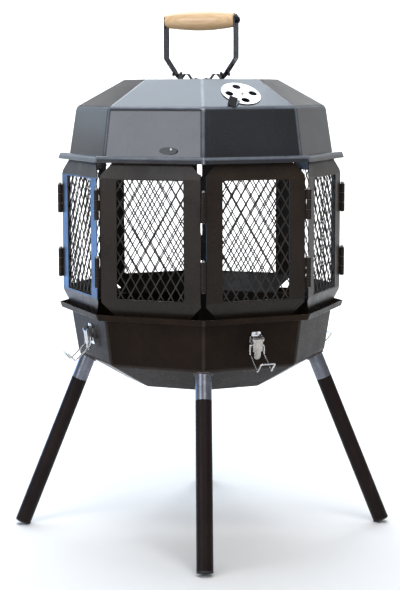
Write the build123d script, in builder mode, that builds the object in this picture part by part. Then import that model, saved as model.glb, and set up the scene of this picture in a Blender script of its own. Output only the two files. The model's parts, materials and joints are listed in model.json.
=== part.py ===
"""Portable octagonal screened fire pit: a pressed bowl on four pull-out legs, a ring of eight
hinged mesh screens, and a pressed lid with a bail handle and a rotating damper.

Frame: millimetres, +Z up, origin on the ground at the middle of the four feet. The front is -Y.
An azimuth is measured from the front towards +X. The octagons have a corner at the front.
"""

import os
from math import atan2, cos, degrees, hypot, radians, sin, sqrt, tan

from build123d import *

os.makedirs("parts", exist_ok=True)

# ---- driving dimensions -------------------------------------------------------------------
SIDES = 8
SHEET = 1.2  # pressed steel of the bowl, lid and screens
BEND_RADIUS = 12.0  # pressed corners and shoulders of the bowl and lid
CROWN_RADIUS = 5.0  # bend between slope and crown

# the pressing that makes both the lid and the bowl, measured from the flange it rests on
FOOT_R = 213.5  # corner radius of the octagon where the wall meets the flange
SHOULDER_R = 202.0
CROWN_R = 123.5  # corner radius of the flat crown
SHOULDER_H = 74.0
CROWN_H = 117.5
LIP_FOOT_R = 228.5
LIP_TIP_R = 232.0
LIP_H = 8.5
RIM_CORNER_RADIUS = 5.0
RIM_BEND_RADIUS = 2.6

BOWL_RIM_Z = 364.0
LID_RIM_Z = 614.0
REST_GAP = 0.2  # play left between stacked pieces

# screens
RING_R = 227.0  # corner radius of the screen ring, outside
PANEL_W = 164.0
RAIL_H = 32.0  # height of the bent-in top and bottom rails
RAIL_TILT = 15.0
WINDOW_W = 111.0
CLIP_START = 5.0  # the rail corners are clipped at 45 degrees from this far past the bend
MESH_SHEET = 1.2
MESH_W = 134.0
MESH_PITCH_X = 16.5
MESH_PITCH_Z = 27.5
STRAND = 1.9
MESH_EDGE = 1.6

# hinges between the screens
HINGE_R = 229.0
HINGE_OD = 8.0
HINGE_L = 45.0
HINGE_PIN_D = 4.0
HINGE_MIDDLES = (437.0, 541.0)
KNUCKLE_GAP = 0.4
LEAF_T = 1.2
LEAF_INNER_U = 69.0
LEAF_OUTER_U = 84.3
PIN_BALL_D = 6.4
FIT = 0.05  # radial play of a pin in its own assembly
RUNNING_FIT = 0.08  # radial play of a pin that turns

# legs
LEG_D = 25.4
LEG_WALL = 1.4
LEG_TOP = (200.8, 245.4)  # radius and height of the joint between socket and leg
LEG_TILT = 21.92  # out from the upright
SPIGOT_D = 21.8
SPIGOT_L = 29.0
SPIGOT_WALL = 1.3
SOCKET_TOP_L = 60.0  # before it is trimmed to the bowl
CAP_T = 2.4
CAP_PLUG_L = 12.0
CAP_PLUG_WALL = 2.0

# fire grate
GRATE_R = 149.0
GRATE_T = 4.0
GRATE_RIM = 9.0
GRATE_BAR = 7.0
GRATE_SLOT = 20.0
GRATE_SLOTS = 9
GRATE_CORNER = 4.0
GRATE_CLEARANCE = 0.4

# damper
DAMPER_AZ = 22.5
DAMPER_D = 62.0
DAMPER_T = 1.2
DAMPER_ALONG = 39.0  # up the slope from the shoulder line
DAMPER_HOLE_D = 13.5
DAMPER_HOLE_CIRCLE = 39.0
DAMPER_LIFT = 0.3
DAMPER_TAB_AT = -129.5  # direction of the tab on the disc
DAMPER_TAB_W = 13.0
DAMPER_TAB_T = 1.2
DAMPER_TAB_START = 24.5
DAMPER_TAB_END = 47.5
DAMPER_TAB_H = 16.0
DAMPER_RIVET_D = 5.0
DAMPER_RIVET_HEAD_D = 9.0

# bail handle; its hinge axis is level and points at this azimuth
HANDLE_AZ = 67.5
STRAP_T = 2.5
STRAP_W = 18.5
STRAP_R = 60.0  # middle of the strap from the lid's axis
GRIP_Z = 825.0
KNEE_Z = 765.0
PIVOT_R = 42.5
PIVOT_UP = 8.0  # pivot height over the lid's crown
EYE_RADIUS = 7.6
STRAP_TAPER_UP = 7.0
GRIP_MAX_D = 33.0
GRIP_END_D = 22.5
GRIP_BORE_D = 6.6
ROD_D = 6.0
NUT_AF = 10.0
NUT_T = 4.0
BOLT_HEAD_R = 5.5
BOLT_HEAD_T = 1.8
PIVOT_PIN_D = 4.0
BRACKET_T = 1.6
BRACKET_W = 9.0
BRACKET_RIVET_AT = 9.0
BRACKET_LINE = ((4.5, 0.0), (16.5, 0.0), (22.0, 7.5), (28.5, 7.5), (34.5, 0.0))  # out, up
BRACKET_EAR = 33.9  # inner side of the upright ear that carries the pin

# rivets of the latches and handle brackets
RIVET_D = 3.0
RIVET_HEAD_D = 5.0
RIVET_HEAD_T = 1.3
RIVET_TAIL_T = 1.0  # the closed end, and how far it spreads past the shank

# draw latches on the bowl
LATCH_Z = 338.0
LATCH_U = 6.5  # to the right of the middle of its face
LATCH_PIVOT_OUT = 6.5
LATCH_PLATE_T = 1.5
LATCH_PLATE_W = 20.0
LATCH_TAB_W = 15.0
LATCH_PLATE_TOP = 10.0
LATCH_PLATE_LOW = -23.0
EAR_T = 1.2
EAR_INNER = 8.4
EAR_RADIUS = 4.6
LATCH_PIN_D = 3.0
LEVER_W = 16.0
LEVER_T = 1.2
LEVER_HEAD_RADIUS = 4.2
LEVER_LOW = -19.0
TONGUE_W = 11.0
TONGUE_L = 12.5
LOOP_PIVOT = (-9.5, 6.8)  # down the wall from the lever's pin, and out from the wall
LOOP_WIRE = 2.6
LOOP_HALF_W = 11.8
LOOP_RUNS = ((13.5, 10.0), (35.0, 56.0), (19.0, 144.0))  # length, and degrees out from down the wall
LOOP_BEND = 3.0
LATCH_RIVETS = (7.2, -17.0)  # up and down the plate from the lever's pin

# stud and its oval boss on the lid's wall
BOSS_AZ = -22.5
BOSS_U = 25.4
BOSS_UP = 9.8  # over the flange
BOSS_W = 29.0
BOSS_H = 11.0
BOSS_T = 2.4
STUD_AT = (5.0, 1.6)  # from the middle of the boss
STUD_D = 5.0
STUD_L = 2.4

QUARTERS = {"front": 0.0, "right": 90.0, "back": 180.0, "left": 270.0}
LEG_AZIMUTHS = {**QUARTERS, "back": 178.8}  # the back leg stands a touch off its corner

# ---- derived dimensions -------------------------------------------------------------------
HALF_TURN = radians(180.0 / SIDES)
FLAT = cos(HALF_TURN)  # apothem of an octagon over its corner radius
FACE_AZIMUTHS = [360.0 / SIDES * (k + 0.5) for k in range(SIDES)]
CORNER_AZIMUTHS = [360.0 / SIDES * k for k in range(SIDES)]
CROWN_Z = LID_RIM_Z + CROWN_H
WALL_LEAN = degrees(atan2((FOOT_R - SHOULDER_R) * FLAT, SHOULDER_H))
SLOPE_RISE = CROWN_H - SHOULDER_H
SLOPE_RUN = (SHOULDER_R - CROWN_R) * FLAT
SLOPE_ANGLE = degrees(atan2(SLOPE_RISE, SLOPE_RUN))
RING_FLAT = RING_R * FLAT
PANEL_LOW = BOWL_RIM_Z + REST_GAP
PANEL_HIGH = LID_RIM_Z - REST_GAP
PANEL_MIDDLE = (PANEL_LOW + PANEL_HIGH) / 2
PANEL_H = PANEL_HIGH - PANEL_LOW
FLAT_H = PANEL_H - 2 * RAIL_H
RAIL_IN = RAIL_H * tan(radians(RAIL_TILT))
WINDOW_H = FLAT_H - 4.0
PIVOT_Z = CROWN_Z + PIVOT_UP
LEG_L = (LEG_TOP[1] - LEG_D / 2 * sin(radians(LEG_TILT))) / cos(radians(LEG_TILT))


def around(azimuth, radius, z):
    """The point at this azimuth, radius and height."""
    a = radians(azimuth)
    return (radius * sin(a), -radius * cos(a), z)


def face_plane(azimuth, apothem, z, lean=0.0):
    """A plane on a side of the octagon: X to the right seen from outside, Y up, Z outward.
    lean tips Z below the level, in degrees."""
    a, t = radians(azimuth), radians(lean)
    out = (sin(a) * cos(t), -cos(a) * cos(t), -sin(t))
    return Plane(origin=around(azimuth, apothem, z), x_dir=(cos(a), sin(a), 0), z_dir=out)


def radial_plane(azimuth):
    """The upright plane through the axis: X outward at this azimuth, Y up."""
    a = radians(azimuth)
    return Plane(origin=(0, 0, 0), x_dir=(sin(a), -cos(a), 0), z_dir=(-cos(a), -sin(a), 0))


def save(builder, label):
    """Label a finished piece and write its STEP file."""
    builder.part.label = label
    export_step(builder.part, f"parts/{label}.step")


def save_placed(shape, places, label):
    """Write one node that holds this shape at each of these places."""
    with BuildPart() as placed:
        with Locations(*places):
            add(shape)
    save(placed, label)


# ---- the pressing: flange at z = 0, crown upwards ------------------------------------------
def octagon_stack(levels):
    """The solid with flat sides through octagons given as (corner radius, height)."""
    rings = [[Vector(around(a, r, z)) for a in CORNER_AZIMUTHS] for r, z in levels]
    faces = [Face(Wire.make_polygon(rings[0])), Face(Wire.make_polygon(rings[-1]))]
    for low, high in zip(rings, rings[1:]):
        for k in range(SIDES):
            n = (k + 1) % SIDES
            faces.append(Face(Wire.make_polygon([low[k], low[n], high[n], high[k]])))
    return Solid(Shell(faces))


def upright_edges(shape):
    """The edges that run up the corners of an octagon stack."""
    return [e for e in shape.edges() if abs(e.tangent_at(0.5).Z) > 0.3]


def dome(inset, floor):
    """The pressed dome, or with an inset its hollow, from the height floor up to the crown."""
    lean = (FOOT_R - SHOULDER_R) * FLAT / SHOULDER_H
    rise = SLOPE_RISE / SLOPE_RUN
    wall = FOOT_R * FLAT - inset * hypot(1, lean)  # apothem of the wall at z = 0
    slope = SHOULDER_H + SHOULDER_R * FLAT * rise - inset * hypot(1, rise)  # slope at the axis
    crown = CROWN_H - inset
    bend = (slope - wall * rise) / (1 - lean * rise)  # height where wall and slope meet
    levels = [
        ((wall - lean * floor) / FLAT, floor),
        ((wall - lean * bend) / FLAT, bend),
        ((slope - crown) / rise / FLAT, crown),
    ]
    with BuildPart() as shape:
        add(octagon_stack(levels))
        shoulder = shape.edges().filter_by_position(Axis.Z, bend - 1, bend + 1)
        fillet(upright_edges(shape) + list(shoulder), BEND_RADIUS - inset)
        fillet(shape.faces().sort_by(Axis.Z)[-1].edges(), CROWN_RADIUS - inset)
    return shape.part


def rim(inset, top):
    """The shallow upside-down tray of flange and lip, or with an inset its hollow."""
    tip, foot = LIP_TIP_R - inset / FLAT, LIP_FOOT_R - inset / FLAT
    with BuildPart() as shape:
        add(octagon_stack([(tip, -LIP_H), (foot, top)]))
        fillet(upright_edges(shape), RIM_CORNER_RADIUS - inset)
        fillet(shape.faces().sort_by(Axis.Z)[-1].edges(), RIM_BEND_RADIUS - inset)
    return shape.part


with BuildPart() as pan:
    add(rim(0.0, SHEET))
    add(dome(0.0, 0.0))
    add(rim(SHEET, 0.0), mode=Mode.SUBTRACT)
    add(dome(SHEET, -2 * SHEET), mode=Mode.SUBTRACT)

lid_place = Location((0, 0, LID_RIM_Z))
bowl_place = Location((0, 0, BOWL_RIM_Z), (180, 0, 0))


# ---- bowl and leg sockets ------------------------------------------------------------------
def latch_place(azimuth):
    """On the bowl's wall at the height of a latch's pin: X right, Y up the wall, Z outward."""
    drop = (BOWL_RIM_Z - LATCH_Z) / SHOULDER_H
    apothem = (FOOT_R - (FOOT_R - SHOULDER_R) * drop) * FLAT
    middle = face_plane(azimuth + 180 / SIDES, apothem, LATCH_Z, lean=WALL_LEAN).location
    return middle * Location((LATCH_U, 0, 0))


with BuildPart() as latch_drill:
    with BuildSketch(Plane.XY.offset(-2 * SHEET)):
        with Locations(*[(0, y) for y in LATCH_RIVETS]):
            Circle(RIVET_D / 2 + FIT)
    extrude(amount=3 * SHEET)

with BuildPart() as bowl:
    with Locations(bowl_place):
        add(pan.part)
    with Locations(*[latch_place(a) for a in QUARTERS.values()]):
        add(latch_drill.part, mode=Mode.SUBTRACT)
save(bowl, "bowl")


def leg_place(azimuth):
    """The top of a leg: Z runs up its own axis towards the bowl."""
    a, t = radians(azimuth), radians(LEG_TILT)
    up = (-sin(a) * sin(t), cos(a) * sin(t), cos(t))
    return Plane(origin=around(azimuth, *LEG_TOP), x_dir=(cos(a), sin(a), 0), z_dir=up).location


with BuildPart() as socket_tube:
    with BuildSketch():
        Circle(LEG_D / 2)
        Circle(LEG_D / 2 - LEG_WALL, mode=Mode.SUBTRACT)
    extrude(amount=SOCKET_TOP_L)

for quarter, azimuth in LEG_AZIMUTHS.items():
    with BuildPart() as socket:
        with Locations(leg_place(azimuth)):
            add(socket_tube.part)
        with Locations(bowl_place):
            add(dome(0.0, 0.0), mode=Mode.SUBTRACT)
    save(socket, f"leg_socket_{quarter}")


# ---- legs ----------------------------------------------------------------------------------
TUBE_R = LEG_D / 2
TUBE_BORE_R = TUBE_R - LEG_WALL
TUBE_L = LEG_L - CAP_T
SPIGOT_R = SPIGOT_D / 2
SWAGE_L = 4.0  # where the tube steps down to its spigot, inside the tube

with BuildPart() as leg_tube:
    with BuildSketch(Plane.XZ):
        with BuildLine():
            Polyline(
                (TUBE_BORE_R, -TUBE_L),
                (TUBE_R, -TUBE_L),
                (TUBE_R, 0),
                (SPIGOT_R, 0),
                (SPIGOT_R, SPIGOT_L),
                (SPIGOT_R - SPIGOT_WALL, SPIGOT_L),
                (SPIGOT_R - SPIGOT_WALL, -SWAGE_L),
                (TUBE_BORE_R, -2 * SWAGE_L),
                close=True,
            )
        make_face()
    revolve(axis=Axis.Z)
    spigot_end = leg_tube.edges().filter_by(GeomType.CIRCLE).group_by(Axis.Z)[-1]
    chamfer(spigot_end.sort_by(SortBy.RADIUS)[-1], 0.5)

PLUG_R = TUBE_BORE_R - 0.1
with BuildPart() as leg_cap:
    with BuildSketch(Plane.XZ):
        with BuildLine():
            Polyline(
                (0, -TUBE_L - CAP_T),
                (TUBE_R, -TUBE_L - CAP_T),
                (TUBE_R, -TUBE_L),
                (PLUG_R, -TUBE_L),
                (PLUG_R, -TUBE_L + CAP_PLUG_L),
                (PLUG_R - CAP_PLUG_WALL, -TUBE_L + CAP_PLUG_L),
                (PLUG_R - CAP_PLUG_WALL, -TUBE_L),
                (0, -TUBE_L),
                close=True,
            )
        make_face()
    revolve(axis=Axis.Z)

for quarter, azimuth in LEG_AZIMUTHS.items():
    save_placed(leg_tube.part, [leg_place(azimuth)], f"leg_{quarter}")
    save_placed(leg_cap.part, [leg_place(azimuth)], f"leg_cap_{quarter}")


# ---- fire grate ----------------------------------------------------------------------------
slope_at_grate = (GRATE_R - CROWN_R * FLAT) * SLOPE_RISE / SLOPE_RUN
off_slope = (SHEET + GRATE_CLEARANCE) / cos(radians(SLOPE_ANGLE))
GRATE_Z = BOWL_RIM_Z - CROWN_H + slope_at_grate + off_slope
slot_step = GRATE_SLOT + GRATE_BAR

with BuildPart() as fire_grate:
    with BuildSketch(Plane.XY.offset(GRATE_Z)):
        Circle(GRATE_R)
        for k in range(GRATE_SLOTS):
            across = (k - (GRATE_SLOTS - 1) / 2) * slot_step
            reach = sqrt((GRATE_R - GRATE_RIM) ** 2 - (abs(across) + GRATE_SLOT / 2) ** 2)
            length = reach - GRATE_BAR / 2
            for side in (-1, 1):
                with Locations((across, side * (GRATE_BAR + length) / 2)):
                    RectangleRounded(GRATE_SLOT, length, GRATE_CORNER, mode=Mode.SUBTRACT)
    extrude(amount=GRATE_T)
save(fire_grate, "fire_grate")


# ---- screens -------------------------------------------------------------------------------
# local frame of a panel: X across, Y up from the panel's middle, Z outward from its outer face
side_plane = Plane(origin=(0, 0, 0), x_dir=(0, 0, 1), z_dir=(1, 0, 0))

with BuildPart() as frame_blank:
    with BuildSketch(side_plane):
        with BuildLine():
            Polyline(
                (-RAIL_IN, -PANEL_H / 2),
                (0, -FLAT_H / 2),
                (0, FLAT_H / 2),
                (-RAIL_IN, PANEL_H / 2),
                (-RAIL_IN - SHEET, PANEL_H / 2),
                (-SHEET, FLAT_H / 2),
                (-SHEET, -FLAT_H / 2),
                (-RAIL_IN - SHEET, -PANEL_H / 2),
                close=True,
            )
        make_face()
    extrude(amount=PANEL_W / 2, both=True)
    with BuildSketch():
        RectangleRounded(WINDOW_W, WINDOW_H, 2.0)
    extrude(amount=2 * SHEET, both=True, mode=Mode.SUBTRACT)
    clip_low = FLAT_H / 2 + CLIP_START
    clip = PANEL_H / 2 - clip_low
    with BuildSketch():
        for side in (-1, 1):
            for end in (-1, 1):
                with BuildLine():
                    Polyline(
                        (side * PANEL_W / 2, end * clip_low),
                        (side * PANEL_W / 2, end * PANEL_H / 2),
                        (side * (PANEL_W / 2 - clip), end * PANEL_H / 2),
                        close=True,
                    )
                make_face()
    extrude(amount=2 * RAIL_IN, both=True, mode=Mode.SUBTRACT)

DIAMOND_INRADIUS = MESH_PITCH_X * MESH_PITCH_Z / 2 / hypot(MESH_PITCH_X, MESH_PITCH_Z)
DIAMOND_SHRINK = 1 - STRAND / 2 / DIAMOND_INRADIUS
MESH_H = FLAT_H - 1.0
ROWS = int(MESH_H / MESH_PITCH_Z) + 2
COLUMNS = int(MESH_W / MESH_PITCH_X) + 1

with BuildPart() as mesh_blank:
    with BuildSketch(Plane.XY.offset(-SHEET - MESH_SHEET)) as lattice:
        with BuildLine():
            Polyline(
                (DIAMOND_SHRINK * MESH_PITCH_X / 2, 0),
                (0, DIAMOND_SHRINK * MESH_PITCH_Z / 2),
                (-DIAMOND_SHRINK * MESH_PITCH_X / 2, 0),
                (0, -DIAMOND_SHRINK * MESH_PITCH_Z / 2),
                close=True,
            )
        diamond = make_face(mode=Mode.PRIVATE)
        with GridLocations(MESH_PITCH_X, MESH_PITCH_Z, COLUMNS - 1, ROWS - 1):
            add(diamond)
        with GridLocations(MESH_PITCH_X, MESH_PITCH_Z, COLUMNS - 2, ROWS):
            add(diamond)
        Rectangle(MESH_W - 2 * MESH_EDGE, MESH_H - 2 * MESH_EDGE, mode=Mode.INTERSECT)
        holes = lattice.sketch
        Rectangle(MESH_W, MESH_H, mode=Mode.REPLACE)
        add(holes, mode=Mode.SUBTRACT)
    extrude(amount=MESH_SHEET)

for number, azimuth in enumerate(FACE_AZIMUTHS, start=1):
    place = face_plane(azimuth, RING_FLAT, PANEL_MIDDLE).location
    save_placed(frame_blank.part, [place], f"screen_frame_{number}")
    save_placed(mesh_blank.part, [place], f"screen_mesh_{number}")


# ---- screen hinges -------------------------------------------------------------------------
def leaf(knuckles):
    """One hinge leaf about its own middle, with a knuckle over each (low, high) given.
    X is across the panel on the right of the hinge pin's panel, Z outward."""
    pin_u, pin_out = HINGE_R * sin(HALF_TURN), HINGE_R * FLAT - RING_FLAT
    layer = -SHEET - LEAF_T / 2
    with BuildPart() as shape:
        with BuildSketch(Plane.XZ.offset(-HINGE_L / 2)):
            with Locations(((LEAF_INNER_U + LEAF_OUTER_U) / 2, layer)):
                Rectangle(LEAF_OUTER_U - LEAF_INNER_U, LEAF_T)
        extrude(amount=HINGE_L)
        for low, high in knuckles:
            with BuildSketch(Plane.XZ.offset(-high)):
                with BuildLine() as web:
                    Line((LEAF_OUTER_U - LEAF_T / 2, layer), (pin_u, pin_out))
                trace(web.line, LEAF_T)
                with Locations((pin_u, pin_out)):
                    Circle(HINGE_OD / 2)
                    Circle(HINGE_PIN_D / 2 + FIT, mode=Mode.SUBTRACT)
            extrude(amount=high - low)
    return shape.part


third = HINGE_L / 3
ends_leaf = leaf([(-HINGE_L / 2, -third / 2 - KNUCKLE_GAP), (third / 2 + KNUCKLE_GAP, HINGE_L / 2)])
middle_leaf = leaf([(-third / 2, third / 2)])
middle_leaf = mirror(middle_leaf, about=Plane.YZ)

BALL_FOOT = HINGE_L / 2 + 0.6
PIN_TAIL = -HINGE_L / 2 - 1.0
with BuildPart() as hinge_pin:
    with BuildSketch(Plane.XZ):
        with BuildLine():
            Polyline(
                (0, BALL_FOOT + PIN_BALL_D / 2),
                (0, PIN_TAIL),
                (HINGE_PIN_D / 2, PIN_TAIL),
                (HINGE_PIN_D / 2, BALL_FOOT),
                (PIN_BALL_D / 2, BALL_FOOT),
            )
            RadiusArc((PIN_BALL_D / 2, BALL_FOOT), (0, BALL_FOOT + PIN_BALL_D / 2), -PIN_BALL_D / 2)
        make_face()
    revolve(axis=Axis.Z)

right_places = [face_plane(a, RING_FLAT, z).location for a in FACE_AZIMUTHS for z in HINGE_MIDDLES]
save_placed(ends_leaf, right_places, "hinge_leaves_outer")
save_placed(middle_leaf, right_places, "hinge_leaves_middle")
pin_places = [Location(around(a, HINGE_R, z)) for a in CORNER_AZIMUTHS for z in HINGE_MIDDLES]
save_placed(hinge_pin.part, pin_places, "hinge_pins")


# ---- rivets --------------------------------------------------------------------------------
def rivet(shank_r, head_r, head_t, grip_low, grip_high):
    """A domed rivet along Z through plates that lie between the two heights given."""
    dome_r = (head_r**2 + head_t**2) / (2 * head_t)
    with BuildPart() as shape:
        with BuildSketch(Plane.XZ):
            with BuildLine():
                Polyline(
                    (0, grip_high + head_t),
                    (0, grip_low - RIVET_TAIL_T),
                    (shank_r + RIVET_TAIL_T, grip_low - RIVET_TAIL_T),
                    (shank_r + RIVET_TAIL_T, grip_low),
                    (shank_r, grip_low),
                    (shank_r, grip_high),
                    (head_r, grip_high),
                )
                RadiusArc((head_r, grip_high), (0, grip_high + head_t), -dome_r)
            make_face()
        revolve(axis=Axis.Z)
    return shape.part


# ---- lid -----------------------------------------------------------------------------------
def slope_plane(azimuth, along):
    """A plane on the lid's slope, along millimetres up from the shoulder: X right, Y up, Z out."""
    apothem = SHOULDER_R * FLAT - along * cos(radians(SLOPE_ANGLE))
    z = LID_RIM_Z + SHOULDER_H + along * sin(radians(SLOPE_ANGLE))
    return face_plane(azimuth, apothem, z, lean=SLOPE_ANGLE - 90)


damper_plane = slope_plane(DAMPER_AZ, DAMPER_ALONG)
boss_apothem = (FOOT_R - (FOOT_R - SHOULDER_R) * BOSS_UP / SHOULDER_H) * FLAT
boss_plane = face_plane(BOSS_AZ, boss_apothem, LID_RIM_Z + BOSS_UP, lean=-WALL_LEAN)
STUD_XY = (BOSS_U + STUD_AT[0], STUD_AT[1])
bracket_rivet_places = [
    Location(around(HANDLE_AZ, r, CROWN_Z)) for r in (-BRACKET_RIVET_AT, BRACKET_RIVET_AT)
]

with BuildPart() as lid:
    with Locations(lid_place):
        add(pan.part)
    with BuildSketch(damper_plane):
        Circle(DAMPER_RIVET_D / 2 + FIT)
        with PolarLocations(DAMPER_HOLE_CIRCLE / 2, 4):
            Circle(DAMPER_HOLE_D / 2)
    extrude(amount=3 * SHEET, both=True, mode=Mode.SUBTRACT)
    with BuildSketch(boss_plane):
        with Locations(STUD_XY):
            Circle(RIVET_D / 2 + FIT)
    extrude(amount=3 * SHEET, both=True, mode=Mode.SUBTRACT)
    with Locations(*bracket_rivet_places):
        Cylinder(RIVET_D / 2 + FIT, 6 * SHEET, mode=Mode.SUBTRACT)
save(lid, "lid")

with BuildPart() as lid_boss:
    with BuildSketch(boss_plane):
        with Locations((BOSS_U, 0)):
            Ellipse(BOSS_W / 2, BOSS_H / 2)
        with Locations(STUD_XY):
            Circle(RIVET_D / 2 + FIT, mode=Mode.SUBTRACT)
    extrude(amount=BOSS_T)
save(lid_boss, "lid_boss")

stud_place = boss_plane.location * Location((*STUD_XY, 0))
save_placed(rivet(RIVET_D / 2, STUD_D / 2, STUD_L, -SHEET, BOSS_T), [stud_place], "lid_stud")


# ---- damper --------------------------------------------------------------------------------
with BuildPart() as damper_disc:
    with BuildSketch(damper_plane.offset(DAMPER_LIFT)):
        Circle(DAMPER_D / 2)
        Circle(DAMPER_RIVET_D / 2 + RUNNING_FIT, mode=Mode.SUBTRACT)
        with PolarLocations(DAMPER_HOLE_CIRCLE / 2, 4):
            Circle(DAMPER_HOLE_D / 2, mode=Mode.SUBTRACT)
    extrude(amount=DAMPER_T)
save(damper_disc, "damper_disc")

DISC_TOP = DAMPER_LIFT + DAMPER_T
with BuildPart() as damper_tab:
    with BuildSketch(Plane.XZ):
        with BuildLine():
            Polyline(
                (DAMPER_TAB_START, DISC_TOP),
                (DAMPER_TAB_END, DISC_TOP),
                (DAMPER_TAB_END, DISC_TOP + DAMPER_TAB_H),
                (DAMPER_TAB_END - DAMPER_TAB_T, DISC_TOP + DAMPER_TAB_H),
                (DAMPER_TAB_END - DAMPER_TAB_T, DISC_TOP + DAMPER_TAB_T),
                (DAMPER_TAB_START, DISC_TOP + DAMPER_TAB_T),
                close=True,
            )
        make_face()
    extrude(amount=DAMPER_TAB_W / 2, both=True)
tab_place = damper_plane.location * Location((0, 0, 0), (0, 0, DAMPER_TAB_AT))
save_placed(damper_tab.part, [tab_place], "damper_tab")

damper_rivet = rivet(DAMPER_RIVET_D / 2, DAMPER_RIVET_HEAD_D / 2, 1.6, -SHEET, DISC_TOP + 0.2)
save_placed(damper_rivet, [damper_plane.location], "damper_rivet")


# ---- bail handle ---------------------------------------------------------------------------
handle_plane = radial_plane(HANDLE_AZ)  # X along the hinge axis, Y up
cross_plane = face_plane(HANDLE_AZ, 0, 0)  # looks along the hinge axis: X across it, Y up
grip_axis = Axis((0, 0, GRIP_Z), cross_plane.z_dir)
GRIP_HALF = STRAP_R - STRAP_T / 2 - REST_GAP
STRAP_TAPER_Z = PIVOT_Z + STRAP_TAPER_UP

with BuildPart() as handle_straps:
    with BuildSketch(handle_plane):
        for side in (-1, 1):
            with BuildLine() as strap_line:
                Polyline(
                    (side * STRAP_R, GRIP_Z + STRAP_W),
                    (side * STRAP_R, KNEE_Z),
                    (side * PIVOT_R, PIVOT_Z),
                    (side * (2 * PIVOT_R - STRAP_R), 2 * PIVOT_Z - KNEE_Z),
                )
            trace(strap_line.line, STRAP_T)
    extrude(amount=STRAP_W / 2, both=True)
    with BuildSketch(cross_plane):
        with Locations((0, GRIP_Z)):
            Circle(STRAP_W / 2)
        with Locations((0, PIVOT_Z)):
            Circle(EYE_RADIUS)
        with BuildLine():
            Polyline(
                (-STRAP_W / 2, GRIP_Z),
                (-STRAP_W / 2, STRAP_TAPER_Z),
                (-EYE_RADIUS, PIVOT_Z),
                (EYE_RADIUS, PIVOT_Z),
                (STRAP_W / 2, STRAP_TAPER_Z),
                (STRAP_W / 2, GRIP_Z),
                close=True,
            )
        make_face()
        with Locations((0, GRIP_Z)):
            Circle(ROD_D / 2 + FIT, mode=Mode.SUBTRACT)
        with Locations((0, PIVOT_Z)):
            Circle(PIVOT_PIN_D / 2 + FIT, mode=Mode.SUBTRACT)
    extrude(amount=2 * STRAP_R, both=True, mode=Mode.INTERSECT)
save(handle_straps, "handle_straps")

with BuildPart() as handle_grip:
    with BuildSketch(handle_plane):
        with BuildLine():
            Line((-GRIP_HALF, GRIP_Z + GRIP_BORE_D / 2), (-GRIP_HALF, GRIP_Z + GRIP_END_D / 2))
            ThreePointArc(
                (-GRIP_HALF, GRIP_Z + GRIP_END_D / 2),
                (0, GRIP_Z + GRIP_MAX_D / 2),
                (GRIP_HALF, GRIP_Z + GRIP_END_D / 2),
            )
            Line((GRIP_HALF, GRIP_Z + GRIP_END_D / 2), (GRIP_HALF, GRIP_Z + GRIP_BORE_D / 2))
            Line((GRIP_HALF, GRIP_Z + GRIP_BORE_D / 2), (-GRIP_HALF, GRIP_Z + GRIP_BORE_D / 2))
        make_face()
    revolve(axis=grip_axis)
    fillet(handle_grip.edges().filter_by(GeomType.CIRCLE).sort_by(SortBy.RADIUS)[-2:], 1.5)
save(handle_grip, "handle_grip")

STRAP_OUT = STRAP_R + STRAP_T / 2
NUT_END = STRAP_OUT + NUT_T
with BuildPart() as handle_rod:
    with BuildSketch(handle_plane):
        with BuildLine():
            Polyline(
                (-STRAP_OUT - BOLT_HEAD_T, GRIP_Z),
                (-STRAP_OUT - BOLT_HEAD_T, GRIP_Z + BOLT_HEAD_R - BOLT_HEAD_T / 2),
                (-STRAP_OUT - BOLT_HEAD_T / 2, GRIP_Z + BOLT_HEAD_R),
                (-STRAP_OUT, GRIP_Z + BOLT_HEAD_R),
                (-STRAP_OUT, GRIP_Z + ROD_D / 2),
                (NUT_END + 0.6, GRIP_Z + ROD_D / 2),
                (NUT_END + 1.2, GRIP_Z + ROD_D / 2 - 0.6),
                (NUT_END + 1.2, GRIP_Z),
                close=True,
            )
        make_face()
    revolve(axis=grip_axis)
save(handle_rod, "handle_rod")

with BuildPart() as handle_nut:
    with BuildSketch(cross_plane.offset(STRAP_OUT)):
        with Locations((0, GRIP_Z)):
            RegularPolygon(NUT_AF / 2, 6, major_radius=False)
            Circle(ROD_D / 2 + FIT, mode=Mode.SUBTRACT)
    extrude(amount=NUT_T)
save(handle_nut, "handle_nut")

PIN_HEAD_R = PIVOT_PIN_D / 2 + 1.6
PIN_HEAD_T = 1.4
PIN_HEAD_AT = PIVOT_R + 5.5
PIN_END = BRACKET_EAR - 1.2
with BuildPart() as handle_pins:
    with BuildSketch(handle_plane):
        for side in (-1, 1):
            with BuildLine():
                Polyline(
                    (side * PIN_END, PIVOT_Z),
                    (side * PIN_END, PIVOT_Z + PIVOT_PIN_D / 2),
                    (side * PIN_HEAD_AT, PIVOT_Z + PIVOT_PIN_D / 2),
                    (side * PIN_HEAD_AT, PIVOT_Z + PIN_HEAD_R),
                    (side * (PIN_HEAD_AT + PIN_HEAD_T), PIVOT_Z + PIN_HEAD_R - 0.8),
                    (side * (PIN_HEAD_AT + PIN_HEAD_T), PIVOT_Z),
                    close=True,
                )
            make_face()
    revolve(axis=Axis((0, 0, PIVOT_Z), cross_plane.z_dir))
save(handle_pins, "handle_pins")

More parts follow.
